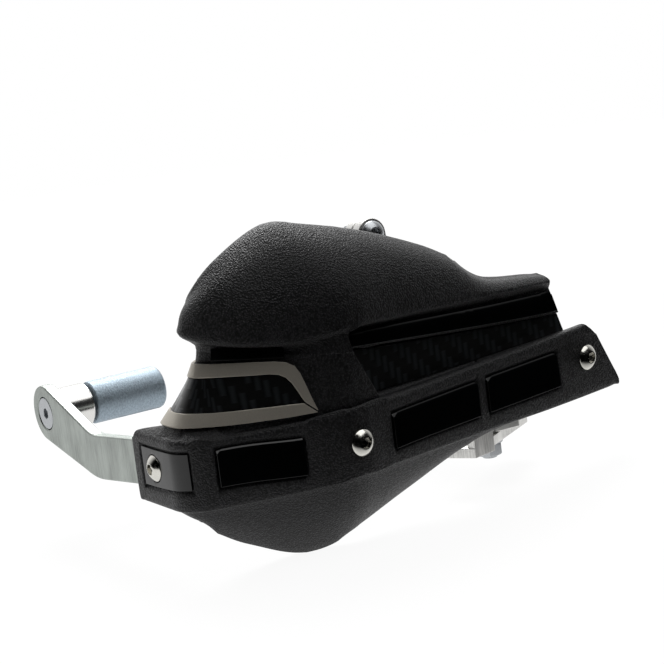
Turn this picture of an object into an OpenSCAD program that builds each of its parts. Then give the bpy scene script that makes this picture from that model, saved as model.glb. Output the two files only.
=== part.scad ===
// Hand guard for the right end of a motorcycle handlebar: flat aluminium backbone, moulded shell,
// expander in the bar end and a clamp on the handlebar. Millimetres; X points inboard, Y back to
// the rider, Z up. The origin is the middle of the handlebar clamp bore.
// Inside the helper functions a point is [x, f, z] from the bar end, with f the distance forward.

/* [Handlebar fit] */
// Diameter of the handlebar at the clamp
bar_d = 22.2; // [22:0.1:28.6]
// Clearance of the clamp bore on the handlebar, on the radius
bar_clear = 0.05; // [0:0.05:0.3]
// Clamp middle inboard of the backbone's outer face
clamp_x = 160; // [140:1:185]
// Clamp middle above the bar-end axis (the handlebar rises between the two)
clamp_rise = 22; // [0:1:35]
// Diameter of the expander sleeve
sleeve_d = 17.6; // [14:0.1:20]
// Length of the expander sleeve
sleeve_len = 32; // [25:1:45]
// Diameter of the bar-end spacer
spacer_d = 18; // [16:0.5:22]
// Length of the bar-end spacer
spacer_len = 14; // [8:1:25]
// Open line between the spacer and the sleeve
sleeve_gap = 1; // [0.5:0.5:3]

/* [Backbone] */
// Thickness of the flat bar
bar_t = 5; // [4:0.5:6]
// Height of the flat bar
bar_h = 18; // [16:1:20]
// Radius of the rounded end round the bar-end bolt
end_r = 11.5; // [10:0.5:12]
// Forward distance of the kink in the outer leg
kink_f = 43; // [36:1:50]
// Drop of the kink below the bar-end axis
kink_drop = 11.5; // [8:0.5:15]
// Level of the bar's middle along the front
front_z = -6; // [-9:0.5:-4]

/* [Shell plan] */
// Inner end of the band's top, from the backbone's outer face
inner_x = 218; // [210:1:228]
// Top of the hood above the bar-end axis
hood_h = 80; // [74:1:86]
// Wall of the shell
wall = 3; // [2.5:0.25:4]
// Clearance between the shell and the backbone
bar_gap = 0.5; // [0.3:0.1:1]
// Forward distance of the shell's rear edge on the outer side
back_f = 90; // [84:1:95]
// Forward distance of the outer corner, before rounding
corner_f = 131.6; // [125:0.2:140]
// Radius of the outer corner
corner_r = 14; // [10:1:18]
// Length of the outer front run
run_a = 70.6; // [65:0.2:76]
// Advance of the outer front run in degrees
advance = 8; // [4:1:12]
// Radius of the middle bend
bend_r = 40; // [25:1:60]
// Retreat of the inner front run in degrees
retreat = 18; // [14:1:24]
// Depth of the panel recesses
recess = 1.2; // [0.8:0.1:1.4]

/* [Fasteners] */
// Thread diameter of all the screws
m6 = 6; // [5:1:6]
// Clearance hole for the screws
m6_hole = 6.6; // [6.4:0.1:7]
// Head diameter of the button-head screws
button_d = 10.5; // [10:0.1:12]
// Head height of the button-head screws
button_h = 3.3; // [2.8:0.1:3.6]
// Hexagon socket across flats
socket_af = 4; // [3:0.5:5]
// Nut across flats
nut_af = 10; // [8:1:10]
// Nut height
nut_h = 5; // [4:0.5:6]

/* [Clamp] */
// Width of the clamp along the handlebar
clamp_w = 22; // [18:1:26]
// Wall of the clamp ring
ring_t = 5.5; // [5:0.5:8]
// Distance of the clamp bolts from the bore middle
ear_r = 21; // [19:0.5:24]
// Turn of the clamp round the handlebar, nose up, in degrees
clamp_tilt = 10; // [0:1:15]
// Thickness of the slotted bracket
bracket_t = 4; // [3:0.5:5]
// Level of the bracket's foot below the bar-end axis
foot_z = -33; // [-38:1:-30]
// Length of the slot between the middles of its rounded ends
slot_len = 26; // [16:1:34]

/* [Hidden] */
$fn = 64;
shell_off = wall + bar_gap;
side_x = -shell_off;
gap0 = 0.25;
seat = 0.05;

// Plan path of the band's face
c1 = [side_x, corner_f];
turn1 = 90 - advance;
t1 = corner_r * tan(turn1 / 2);
d1 = [cos(advance), sin(advance)];
c2 = c1 + run_a * d1;
turn2 = advance + retreat;
t2 = bend_r * tan(turn2 / 2);
d2 = [cos(retreat), -sin(retreat)];
s1 = corner_f - t1 - back_f;
s2 = s1 + corner_r * turn1 * PI / 180;
s3 = s2 + run_a - t1 - t2;
s4 = s3 + bend_r * turn2 * PI / 180;
function heading(s) = s < s1 ? 90
    : s < s2 ? 90 - (s - s1) / corner_r * 180 / PI
    : s < s3 ? advance
    : s < s4 ? advance - (s - s3) / bend_r * 180 / PI
    : -retreat;
function out_n(s) = let (h = heading(s)) [-sin(h), cos(h)];
function plan(s) = s < s1 ? [side_x, back_f + s]
    : s < s2 ? [side_x + corner_r, back_f + s1] + corner_r * out_n(s)
    : s < s3 ? c1 + (t1 + s - s2) * d1
    : s < s4 ? c2 - t2 * d1 - bend_r * out_n(s3) + bend_r * out_n(s)
    : c2 + (t2 + s - s4) * d2;
function s_at(x) = x < c2.x ? s2 - t1 + (x - c1.x) / cos(advance)
    : s4 - t2 + (x - c2.x) / cos(retreat);
function at(s, inset, z) = let (p = plan(s) - inset * out_n(s)) [p.x, p.y, z];

// The form was measured at these main sizes. Past the bend it is stretched along the inner run,
// above the band it is scaled in height, and the upper lines follow the outer corner forward
drawn_x = 218;
drawn_h = 80;
drawn_f = 131.6;
bend_x = 93;
low_z = 12;
function sx(x) = x <= bend_x ? x : bend_x + (x - bend_x) * (inner_x - bend_x) / (drawn_x - bend_x);
function sz(z) = z <= low_z ? z : low_z + (z - low_z) * (hood_h - low_z) / (drawn_h - low_z);
function fit(line) = [for (p = line) let (dx = sx(p.x) - p.x)
    [p.x + dx, p.y - dx * tan(retreat) + corner_f - drawn_f, sz(p.z)]];
function sp(x) = s_at(sx(x));

// Stations: rear edge, side, corner, four along the outer run, the rest along the inner run
stations = [0, 18, (s1 + s2) / 2, sp(20), sp(45), (s3 + s4) / 2, sp(100), sp(132), sp(150),
    sp(178), sp(drawn_x)];
last = 10;
u_to_s = [for (i = [0:last]) [i, stations[i]]];
s_to_u = [for (i = [0:last]) [stations[i], i]];
function cubic(a, b, c, d, t) = 0.5 * (2 * b + (c - a) * t + (2 * a - 5 * b + 4 * c - d) * t * t
    + (3 * b - a - 3 * c + d) * t * t * t);
function smooth(v, u) = let (n = len(v) - 1, i = max(0, min(floor(u), n - 1)))
    cubic(v[max(i - 1, 0)], v[i], v[i + 1], v[min(i + 2, n)], u - i);
function mix(a, b, t) = a + (b - a) * t;
function clip(t) = max(0, min(1, t));
function flat_n(v, u) = let (p = smooth(v, u + 0.02), q = smooth(v, u - 0.02), d = p - q)
    [-d.y, d.x, 0] / norm([d.x, d.y]);

// Feature lines of the upper shell as [x, f, z] at the stations
rim = fit([[38, 90, 46], [38, 91, 47.5], [38.5, 93, 52], [44, 96, 62], [54, 97, 72], [68, 98, 71.5],
    [93, 97, 64], [124, 94, 48], [144, 92, 36.4], [170, 88, 30.8], [177, 86, 29.4]]);
crest = fit([[33, 92, 48], [25.3, 99, 51], [21.4, 107, 58], [29, 114, 70], [50, 115, 80],
    [67, 116, 77.2], [97, 112, 67.6], [129, 107, 53], [148, 103, 38.8], [174, 97, 33.2], [181, 95, 31.7]]);
lip = fit([[28, 96, 46], [16.2, 106, 46], [9.7, 119, 45], [22, 133, 41], [45, 138, 38], [68, 139.5, 39],
    [100, 129.5, 36.5], [132, 119, 33], [150, 113, 31.5], [178, 104, 29], [184, 102, 28.5]]);
neck_top = fit([[31, 98, 39.5], [22, 107, 39.5], [16.5, 117, 40], [25, 128, 39.5], [46, 134, 36],
    [68, 138.5, 36.5], [100, 129, 33.5]]);
neck_mid = fit([[30.5, 101, 33], [21.5, 107, 33], [15.5, 117, 34], [24, 128, 34.2], [45.5, 134.5, 31.5],
    [68, 138.5, 28.5], [100, 129, 26]]);
neck_low = fit([[2, 107, 11], [0, 113, 11], [3.5, 124.5, 11], [21, 132, 10], [45, 136, 9],
    [67.5, 139, 9.5], [100, 128.5, 9]]);
bevel_low = fit([[66, 136, 37], [99, 126.5, 34], [131, 116, 30.5], [149, 110, 28.5], [177, 101, 26],
    [185, 99, 25.5]]);
groove_line = fit([[66, 135.5, 30], [99, 126, 25.5], [131, 115.5, 21], [149, 109.5, 18.5],
    [177, 100.5, 15], [190, 96.5, 14]]);
groove_low = fit([[66, 135, 10.5], [98.5, 125.3, 8.5], [130.5, 115, 7.5], [148.5, 109, 7],
    [176, 100.5, 6.2], [192, 95.5, 5.8]]);

// Levels and insets of the band and the wing at the stations
ledge_z = [8.5, 8.8, 8.8, 8, 7.4, 7.8, 7.3, 7, 6.8, 6.7, 6.6];
band_z = [7, 7.2, 7.2, 6.4, 6, 6.2, 5.9, 5.7, 5.6, 5.6, 5.6];
panel_top = [2.8, 2.9, 3.6, 3.5, 1.2, 0.8, 0.8, 0.6, 0.4, 0, -0.5];
panel_low = [-13, -12.5, -11.2, -11.6, -13.8, -13.8, -13.5, -14, -14.3, -14.8, -15];
under_z = [-19.4, -19.2, -19, -19.4, -20, -19, -19.5, -20.3, -21, -22, -22.5];
wing_in = [4, 4.5, 6, 12, 15, 14, 11, 5.5, 4, 4, 4];
wing_z = [-20.6, -20.7, -24.6, -37.5, -47.5, -43.5, -34.5, -24.8, -22.6, -23.4, -24];
// How far each band line runs past station 9, so that the inner end is slanted
reach_top = 28 * (inner_x - bend_x) / (drawn_x - bend_x);
reach_low = reach_top + 16;
// Rounded corners of the band at both its ends: by how much each line is shorter
round_top = 4.5;
round_low = 2;
// Share of the slant at the panels' upper and lower edges
lean_top = 0.25;
lean_low = 0.74;

// Panels in the band: first and last place along the plan path
side_cut = [5.4, 41];
front_cut = [50.2, 87];
badge_cut = [sp(85), sp(135)];
inner_cut = [sp(139), sp(184)];
cuts = [side_cut, front_cut, badge_cut, inner_cut];
step = 0.8;
slope = 1.4;
function in_cut(s, c) = clip((s - c[0]) / step) * clip((c[1] - s) / step);
function recess_at(s) = recess * max([for (c = cuts) in_cut(s, c)]);

// Leaning end of the groove: its lines are pushed apart round this station
lean_u = 5.27;
function lean(u, k) = u + k * max(0, 1 - abs(u - lean_u) / 0.9);
function ramp(u) = clip((u - lean_u + 0.02) / 0.04);

// One line of the groove: flush curve before the leaning end, recessed one after it. The inner
// face steps back a wall's thickness earlier, by the given lead
function two(a, b, u, k, lead = 0) = let (w = lean(u, k), t = ramp(u + lead))
    t == 0 ? smooth(a, w)
    : t == 1 ? smooth(b, w - 5)
    : mix(smooth(a, w), smooth(b, w - 5), t);
function two_n(a, b, u, k, lead = 0) = let (w = lean(u, k))
    u + lead < lean_u ? flat_n(a, w) : flat_n(b, w - 5);
step_lead = 0.09;
function two_in(a, b, u, k, depth) = two(a, b, u, k, step_lead)
    - depth * two_n(a, b, u, k, step_lead);

// Band line: past station 9 each line has its own reach
function band(u, inset, z, k = 0.5, e = 0) = u <= 9
    ? at(lookup(u, u_to_s) + e * clip(1 - u / 0.3), inset, z)
    : at(stations[9] + (u - 9) * mix(reach_top, reach_low, k) - e * clip((u - 9.8) / 0.2), inset, z);
dome = [18, 36, 54, 72];
function dome_pt(u, a) = let (h = smooth(lip, u), c = smooth(crest, u))
    [mix(h.x, c.x, 1 - sin(a)), mix(h.y, c.y, 1 - sin(a)), mix(h.z, c.z, cos(a))];

function outer_at(u) = let (s = lookup(u, u_to_s), r = recess_at(s), zl = smooth(ledge_z, u),
    zb = smooth(band_z, u), zt = smooth(panel_top, u), zp = smooth(panel_low, u),
    zu = smooth(under_z, u), wi = smooth(wing_in, u), wz = smooth(wing_z, u)) [
    smooth(rim, u),
    smooth(crest, u),
    for (a = dome) dome_pt(u, a),
    smooth(lip, u),
    two(neck_top, bevel_low, u, -0.2),
    two(neck_mid, groove_line, u, -0.14),
    two(neck_mid, groove_line, u, -0.14) - 1.2 * ramp(u) * two_n(neck_mid, groove_line, u, -0.14)
        - [0, 0, 0.4],
    two(neck_low, groove_low, u, 0.14),
    band(lean(u, 0.18), 1.6 + 0.6 * ramp(u), zl, 0, round_top),
    band(u, 0, zb, 0.03, round_top * 0.6),
    band(u, 0, zt + slope, 0.2, round_top * 0.06),
    band(u, r, zt, lean_top),
    band(u, r, zp, lean_low),
    band(u, 0, zp - slope, 0.79),
    band(u, 0.3, zu, 1, round_low / 3),
    band(u, 2.2, zu - 0.6, 1, round_low),
    band(u, mix(2.2, wi, 0.42), mix(zu - 0.6, wz, 0.55), 0.95, round_low),
    band(u, wi, wz, 0.9, round_low)];

function inner_at(u) = let (zl = smooth(ledge_z, u), zb = smooth(band_z, u),
    zt = smooth(panel_top, u), zp = smooth(panel_low, u), zu = smooth(under_z, u),
    wi = smooth(wing_in, u), wz = smooth(wing_z, u), n = flat_n(lip, u)) [
    smooth(rim, u) - [0, 0, wall],
    smooth(crest, u) - [0, 0, wall],
    for (a = dome) dome_pt(u, a) - wall * sin(a) * n - [0, 0, wall * cos(a)],
    smooth(lip, u) - wall * n + [0, 0, 1],
    two_in(neck_top, bevel_low, u, -0.2, wall) + [0, 0, 0.8],
    two_in(neck_mid, groove_line, u, -0.14, wall + 0.4),
    two_in(neck_mid, groove_line, u, -0.14, wall + 1.2) - [0, 0, 0.8],
    two_in(neck_low, groove_low, u, 0.14, wall) - [0, 0, 1.6],
    band(lean(u, 0.18), 1.9 + wall, zl - 2.4, 0, round_top),
    band(u, wall + 0.2, zb - 2.2, 0.03, round_top * 0.6),
    band(u, wall + 0.2, zt + 0.4, 0.2, round_top * 0.06),
    band(u, wall + 0.2, zt, lean_top),
    band(u, wall + 0.2, zp, lean_low),
    band(u, wall + 0.2, zp - 0.4, 0.79),
    band(u, wall + 0.3, zu + 2.2, 1, round_low / 3),
    band(u, 2.3 + wall, zu + 1.2, 1, round_low),
    band(u, mix(2.2, wi, 0.42) + wall, mix(zu - 0.6, wz, 0.55) + 0.8, 0.95, round_low),
    band(u, wi + wall, wz + 0.6, 0.9, round_low)];

cols_s = [0, 1.2, 2.8, side_cut[0], side_cut[0] + step, 10, 15, 20, 25, s1, s1 + 3, s1 + 6,
    side_cut[1] - step - 2, side_cut[1] - step, side_cut[1], side_cut[1] + 2.6, s2 - 2.6,
    front_cut[0], front_cut[0] + step, for (s = [54:5.6:82]) s, front_cut[1] - step, front_cut[1],
    (front_cut[1] + s3) / 2, for (i = [0:5]) mix(s3, s4, i / 5)];
cols_u = [for (s = cols_s) lookup(s, s_to_u)];
lean_cols = [5.16, 5.2, 5.25, 5.29, 5.37, 5.46];
far_s = [badge_cut[0], badge_cut[0] + step, for (x = [91:6:127]) sp(x), badge_cut[1] - step,
    badge_cut[1], inner_cut[0], inner_cut[0] + step, for (x = [145:6:175]) sp(x),
    inner_cut[1] - step, inner_cut[1], for (x = [190:6:208]) sp(x), sp(212), sp(214.5),
    sp(216.5), sp(drawn_x)];
far_u = [for (s = far_s) lookup(s, s_to_u)];
columns = concat([for (u = cols_u) if (u < 5.12) u], lean_cols, [for (u = far_u) if (u > 5.5) u]);

// Closed sheet between two grids of points
module slab(a, b) {
    ni = len(a);
    nj = len(a[0]);
    n = ni * nj;
    pts = [for (g = [a, b]) for (c = g) for (p = c) [p.x, -p.y, p.z]];
    function id(i, j) = i * nj + j;
    tris = [
        for (i = [0:ni - 2]) for (j = [0:nj - 2]) each [
            [id(i, j), id(i + 1, j), id(i + 1, j + 1)],
            [id(i, j), id(i + 1, j + 1), id(i, j + 1)],
            [n + id(i, j), n + id(i + 1, j + 1), n + id(i + 1, j)],
            [n + id(i, j), n + id(i, j + 1), n + id(i + 1, j + 1)]],
        for (i = [0:ni - 2]) each [
            [id(i, 0), n + id(i + 1, 0), id(i + 1, 0)],
            [id(i, 0), n + id(i, 0), n + id(i + 1, 0)],
            [id(i, nj - 1), id(i + 1, nj - 1), n + id(i + 1, nj - 1)],
            [id(i, nj - 1), n + id(i + 1, nj - 1), n + id(i, nj - 1)]],
        for (j = [0:nj - 2]) each [
            [id(0, j), id(0, j + 1), n + id(0, j + 1)],
            [id(0, j), n + id(0, j + 1), n + id(0, j)],
            [id(ni - 1, j), n + id(ni - 1, j + 1), id(ni - 1, j + 1)],
            [id(ni - 1, j), n + id(ni - 1, j), n + id(ni - 1, j + 1)]]];
    polyhedron(points = pts, faces = tris, convexity = 6);
}

// Point on the sheet between two lines of the section, lifted by h along its normal
function line_pt(k, u) = outer_at(u)[k];
function face_pt(k, u, v) = mix(line_pt(k, u), line_pt(k + 1, u), v);
function face_at(k, u, v, h) = let (e = 0.01, a = face_pt(k, u, v), du = face_pt(k, u + e, v) - a,
    dv = line_pt(k + 1, u) - line_pt(k, u), n = cross(du, dv)) a + h * n / norm(n);

module from_bar_end() {
    translate([-clamp_x, 0, -clamp_rise])
        children();
}

// Places a fastener whose axis is the outward normal at s; its local +Z points outward
module on_band(s, inset, z) {
    p = at(s, inset, z);
    translate([p.x, -p.y, p.z])
        rotate([0, 0, -heading(s)])
            rotate([90, 0, 0])
                children();
}

screw_places = [[15.8, -5], [sp(68.6), -6], [sp(200), -7]];

module guard_shell() {
    color("#1a1a1b")
        from_bar_end()
            difference() {
                slab([for (u = columns) outer_at(u)], [for (u = columns) inner_at(u)]);
                for (q = screw_places)
                    on_band(q[0], wall + 3, q[1])
                        cylinder(d = m6_hole, h = wall + 8);
            }
}

// Panels are let into the band's recesses with an even gap
module band_panel(cut, hole = false) {
    us = [for (u = columns) let (s = lookup(u, u_to_s))
        if (s > cut[0] + step - 0.01 && s < cut[1] - step + 0.01) u];
    u0 = us[0];
    u1 = us[len(us) - 1];
    cols = [for (u = us) u == u0 ? u + 0.006 : u == u1 ? u - 0.006 : u];
    function row(u, d) = let (zt = smooth(panel_top, u) - gap0, zp = smooth(panel_low, u) + gap0)
        [band(u, d, zt, lean_top), band(u, d, zp, lean_low)];
    difference() {
        slab([for (u = cols) row(u, 0.35)], [for (u = cols) row(u, recess - seat)]);
        if (hole)
            on_band(screw_places[0][0], wall + 3, screw_places[0][1])
                cylinder(d = button_d + 0.6, h = wall + 8);
    }
}

module side_panel() {
    color("#0b0b0c")
        from_bar_end()
            band_panel(side_cut, true);
}

module front_panel() {
    color("#0b0b0c")
        from_bar_end()
            band_panel(front_cut);
}

module badge_panel() {
    color("#0b0b0c")
        from_bar_end()
            band_panel(badge_cut);
}

module inner_panel() {
    color("#0b0b0c")
        from_bar_end()
            band_panel(inner_cut);
}

// Trims and inlay on the neck, as [outer u, outer v, inner u, inner v] along the strip
neck_k = 9;
trim_w = 0.21;
trim_us = [for (u = cols_u) if (u > 0.2 && u < 3.5) u];
tip_u = 4.36;
upper_strip = concat([for (u = trim_us) [u, 0.02, u, 0.02 + trim_w]],
    [[3.74, 0.025, 3.62, 0.23], [3.92, 0.05, 3.77, 0.25], [4.05, 0.12, 3.88, 0.31],
    [4.13, 0.25, 3.96, 0.41], [4.19, 0.43, 4.02, 0.52], [4.27, 0.7, 4.08, 0.64],
    [tip_u, 0.96, 4.14, 0.76]]);
lower_strip = concat([for (u = trim_us) [u, 0.97 - trim_w, u, 0.97]],
    [[3.62, 0.765, 3.62, 0.975], [3.9, 0.77, 3.92, 0.98], [4.12, 0.785, 4.35, 0.985]]);
inlay_strip = concat([for (u = trim_us) [u, 0.03 + trim_w, u, 0.96 - trim_w]],
    [[3.61, 0.24, 3.64, 0.75], [3.76, 0.265, 3.8, 0.755], [3.87, 0.325, 3.92, 0.76],
    [3.945, 0.42, 3.99, 0.762], [4, 0.53, 4.035, 0.765], [4.045, 0.64, 4.07, 0.768]]);
module neck_strip(strip, low, high, n = 2) {
    slab([for (q = strip) [for (j = [0:n]) face_at(neck_k, mix(q[0], q[2], j / n),
            mix(q[1], q[3], j / n), high)]],
        [for (q = strip) [for (j = [0:n]) face_at(neck_k, mix(q[0], q[2], j / n),
            mix(q[1], q[3], j / n), low)]]);
}

module upper_trim() {
    color("#8f8a82")
        from_bar_end()
            neck_strip(upper_strip, gap0, 1.5);
}

module lower_trim() {
    color("#8f8a82")
        from_bar_end()
            neck_strip(lower_strip, gap0, 1.5);
}

module wrap_inlay() {
    color("#161719")
        from_bar_end()
            neck_strip(inlay_strip, gap0, 0.9, 3);
}

module neck_window() {
    us = [2.52, 2.75, 3, 3.25, 3.5, 3.7, 3.9];
    color("#0b0b0c")
        from_bar_end()
            slab([for (u = us) [for (v = [0.12, 0.94]) face_at(7, u, v, 0.9)]],
                [for (u = us) [for (v = [0.12, 0.94]) face_at(7, u, v, gap0)]]);
}

// Gloss strip on the upper flank of the groove
module groove_window() {
    us = concat([5.34], [for (u = columns) if (u > 5.35 && u < 9.8) u], [9.8]);
    color("#0b0b0c")
        from_bar_end()
            slab([for (u = us) [for (v = [0.1, 0.5, 0.88]) face_at(7, u, v, 0.8)]],
                [for (u = us) [for (v = [0.1, 0.5, 0.88]) face_at(7, u, v, gap0)]]);
}

// The insert stands off a little more where the groove's floor is twisted, at its leaning end
function groove_lift(u) = gap0 + 0.35 * clip((5.7 - u) / 0.2);
module groove_inlay() {
    us = concat([5.32], [for (u = columns) if (u > 5.35 && u < 9.9) u], [9.9]);
    vs = [0.03, 0.5, 0.96];
    color("#161719")
        from_bar_end()
            slab([for (u = us) [for (v = vs) face_at(neck_k, u, v, groove_lift(u) + 0.55)]],
                [for (u = us) [for (v = vs) face_at(neck_k, u, v, groove_lift(u))]]);
}

// Flat bar: dog-legged outer leg on edge, then bent round behind the shell
bar_end_s = sp(207);
bar_cols = concat([20, 26], [for (i = [0:8]) mix(s1, s2, i / 8)], [sp(20), sp(40)],
    [for (i = [0:6]) mix(s3, s4, i / 6)], [sp(110), sp(160), bar_end_s]);
kink_r = 34;
module backbone_bar() {
    color("#b9bdbb")
        from_bar_end()
            difference() {
                union() {
                    outer_leg();
                    translate([0, 0, front_z - bar_h / 2])
                        linear_extrude(bar_h)
                            mirror([0, 1])
                                polygon(concat([for (s = bar_cols) plan(s) - shell_off * out_n(s)],
                                    [for (i = [len(bar_cols) - 1:-1:0]) let (s = bar_cols[i])
                                        plan(s) - (shell_off + bar_t) * out_n(s)]));
                }
                for (q = screw_places)
                    on_band(q[0], shell_off + bar_t + 2, q[1])
                        cylinder(d = m6_hole, h = bar_t + 4);
                translate([-1, 0, 0])
                    rotate([0, 90, 0])
                        cylinder(d = m6_hole, h = bar_t + 2);
                translate([-1, 0, 0])
                    rotate([0, 90, 0])
                        cylinder(d = 13.6, h = 3.2);
                on_band(bracket_s, shell_off + bar_t + 2, front_z)
                    cylinder(d = m6_hole, h = bar_t + 4);
                on_band(bracket_s, shell_off + 3.4, front_z)
                    cylinder(d1 = m6_hole, d2 = 12.8, h = 3.4 + 0.01);
            }
}

// Outline of the outer leg in the plane across the handlebar, front towards -Y
module outer_leg() {
    a1 = atan2(-kink_drop, kink_f);
    a2 = atan2(front_z + kink_drop, back_f - kink_f);
    knee = [kink_f, -kink_drop] - kink_r * tan((a2 - a1) / 2) * [cos(a1), sin(a1)];
    bends = [for (i = [0:8]) mix(a1, a2, i / 8)];
    function side_line(e, start) = concat([[-start * sin(a1), start * cos(a1)]],
        [for (a = bends) knee + kink_r * [-sin(a1), cos(a1)] - (kink_r - e) * [-sin(a), cos(a)]],
        [[back_f - e * tan(a2 / 2), front_z + e], [back_f + 26, front_z + e]]);
    up = side_line(bar_h / 2, end_r);
    low = side_line(-bar_h / 2, -end_r);
    rotate([90, 0, 90])
        linear_extrude(bar_t)
            mirror([1, 0])
                union() {
                    circle(r = end_r, $fn = 72);
                    polygon(concat(up, [for (i = [len(low) - 1:-1:0]) low[i]]));
                }
}

module button_screw(len) {
    difference() {
        union() {
            translate([0, 0, -len])
                cylinder(d = m6, h = len + 0.5);
            rotate_extrude()
                intersection() {
                    translate([0, button_h - button_d * 0.66])
                        circle(d = button_d * 1.32, $fn = 96);
                    square([button_d / 2, button_h]);
                }
        }
        translate([0, 0, button_h - 2])
            cylinder(d = socket_af / cos(30), h = 3, $fn = 6);
    }
}

module plain_nut() {
    difference() {
        intersection() {
            cylinder(d = nut_af / cos(30), h = nut_h, $fn = 6);
            rotate_extrude()
                polygon([[0, 0], [nut_af / 2 - 0.1, 0], [nut_af / 2 + 0.8, 0.6],
                    [nut_af / 2 + 0.8, nut_h - 0.6], [nut_af / 2 - 0.1, nut_h], [0, nut_h]]);
        }
        translate([0, 0, -1])
            cylinder(d = m6 + 0.1, h = nut_h + 2);
    }
}

nut_inset = shell_off + bar_t + seat;
// The nuts sit on the bar's back; the middle one clears the bend, the last one holds the bracket
nut_room = [0, 0.6, bracket_t + seat];
screw_len = [14.5, 16, 20];
module shell_screws() {
    color("#c6c8ca")
        from_bar_end()
            for (i = [0:2])
                on_band(screw_places[i][0], i == 0 ? recess - seat : -seat, screw_places[i][1])
                    button_screw(screw_len[i]);
}

module shell_nuts() {
    color("#a8aaac")
        from_bar_end()
            for (i = [0:2])
                on_band(screw_places[i][0], nut_inset + nut_h + nut_room[i], screw_places[i][1])
                    plain_nut();
}

// Bar-end parts lie on the X axis through the backbone's eye
module along_x(x) {
    translate([x, 0, 0])
        rotate([0, 90, 0])
            children();
}

spacer_x = bar_t + seat;
sleeve_x = spacer_x + spacer_len + sleeve_gap;
sleeve_end = sleeve_x + sleeve_len;
wedge_len = 10;
wedge_in = 0.6;
cone_d = 13;
slit_turn = -24;
module bar_end_bolt() {
    color("#c6c8ca")
        from_bar_end()
            difference() {
                union() {
                    along_x(0.2)
                        cylinder(d = 13, h = 1.95);
                    along_x(0.2)
                        cylinder(d = m6, h = sleeve_end - wedge_in - 0.2);
                }
                along_x(-0.5)
                    cylinder(d = socket_af / cos(30), h = 2.6, $fn = 6);
            }
}

module bar_end_spacer() {
    color("#c9cccb")
        from_bar_end()
            along_x(spacer_x)
                difference() {
                    union() {
                        cylinder(d = spacer_d, h = spacer_len - 1);
                        cylinder(d = spacer_d - 2.4, h = spacer_len);
                    }
                    translate([0, 0, -1])
                        cylinder(d = m6_hole, h = spacer_len + 2);
                }
}

module expander_sleeve() {
    color("#9aa5ae")
        from_bar_end()
            along_x(sleeve_x)
                difference() {
                    rotate_extrude($fn = 72)
                        polygon([[m6_hole / 2, 0], [sleeve_d / 2 - 0.5, 0], [sleeve_d / 2, 0.5],
                            [sleeve_d / 2, sleeve_len - 2], [sleeve_d / 2 - 0.3, sleeve_len - 1],
                            [sleeve_d / 2 - 1, sleeve_len - 0.3],
                            [sleeve_d / 2 - 1.9, sleeve_len], [cone_d / 2 + 0.1, sleeve_len],
                            [cone_d / 2 + 0.1, sleeve_len - wedge_in - 2.4],
                            [m6_hole / 2, sleeve_len - wedge_in - wedge_len]]);
                    for (a = [0, 180])
                        rotate([0, 0, slit_turn + a])
                            translate([0, -0.5, 11])
                                cube([12, 1, sleeve_len]);
                }
}

module expander_wedge() {
    color("#8f9aa3")
        from_bar_end()
            along_x(sleeve_end - wedge_in - wedge_len)
                difference() {
                    union() {
                        translate([0, 0, 1.4])
                            cylinder(d1 = 7, d2 = cone_d - 0.4, h = wedge_len - 3.8);
                        translate([0, 0, wedge_len - 2.4])
                            cylinder(d = cone_d - 0.4, h = 2.4);
                    }
                    translate([0, 0, -1])
                        cylinder(d = m6 + 0.1, h = wedge_len + 4);
                }
}

// Slotted bracket: upright flange behind the bar, web down, slotted foot slanting back below it
bracket_s = sp(172);
foot_s = sp(138);
foot_turn = 35;
foot_len = 58;
foot_w = 15;
web_w = 12;
slot_in = 7.5;
slot_at = 30;
foot_p = at(foot_s, shell_off + bar_t + seat, 0);
function on_foot(along, in) = foot_p + [along * cos(foot_turn) - in * sin(foot_turn),
    -along * sin(foot_turn) - in * cos(foot_turn), 0];
module slot_bracket() {
    color("#c4c8c8")
        from_bar_end()
            difference() {
                translate([foot_p.x, -foot_p.y, 0]) {
                    rotate([0, 0, retreat]) {
                        translate([0, 0, front_z - bar_h / 2])
                            cube([bar_end_s - foot_s, bracket_t, bar_h]);
                        translate([0, 0, foot_z])
                            cube([web_w, bracket_t, front_z - foot_z]);
                    }
                    translate([0, 0, foot_z])
                        rotate([0, 0, foot_turn])
                            linear_extrude(bracket_t)
                                hull() {
                                    square([4, foot_w]);
                                    for (v = [4, foot_w - 4])
                                        translate([foot_len - 4, v])
                                            circle(r = 4);
                                }
                }
                for (q = [screw_places[2], [bracket_s, front_z]])
                    on_band(q[0], nut_inset + bracket_t + 4, q[1])
                        cylinder(d = m6_hole, h = bracket_t + 8);
                hull()
                    for (e = [-1, 0])
                        let (q = on_foot(slot_at + 4 + e * slot_len, slot_in))
                            translate([q.x, -q.y, foot_z - 1])
                                cylinder(d = m6_hole, h = bracket_t + 2);
            }
}

module bracket_bolt() {
    color("#a8aaac")
        from_bar_end()
            on_band(bracket_s, shell_off + 0.1, front_z)
                difference() {
                    union() {
                        translate([0, 0, -3.1])
                            cylinder(d1 = m6, d2 = 12, h = 3.1);
                        translate([0, 0, -18])
                            cylinder(d = m6, h = 16);
                    }
                    translate([0, 0, -2])
                        cylinder(d = socket_af / cos(30), h = 3, $fn = 6);
                }
}

module bracket_nut() {
    color("#a8aaac")
        from_bar_end()
            on_band(bracket_s, nut_inset + bracket_t + seat + nut_h, front_z)
                plain_nut();
}

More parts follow.
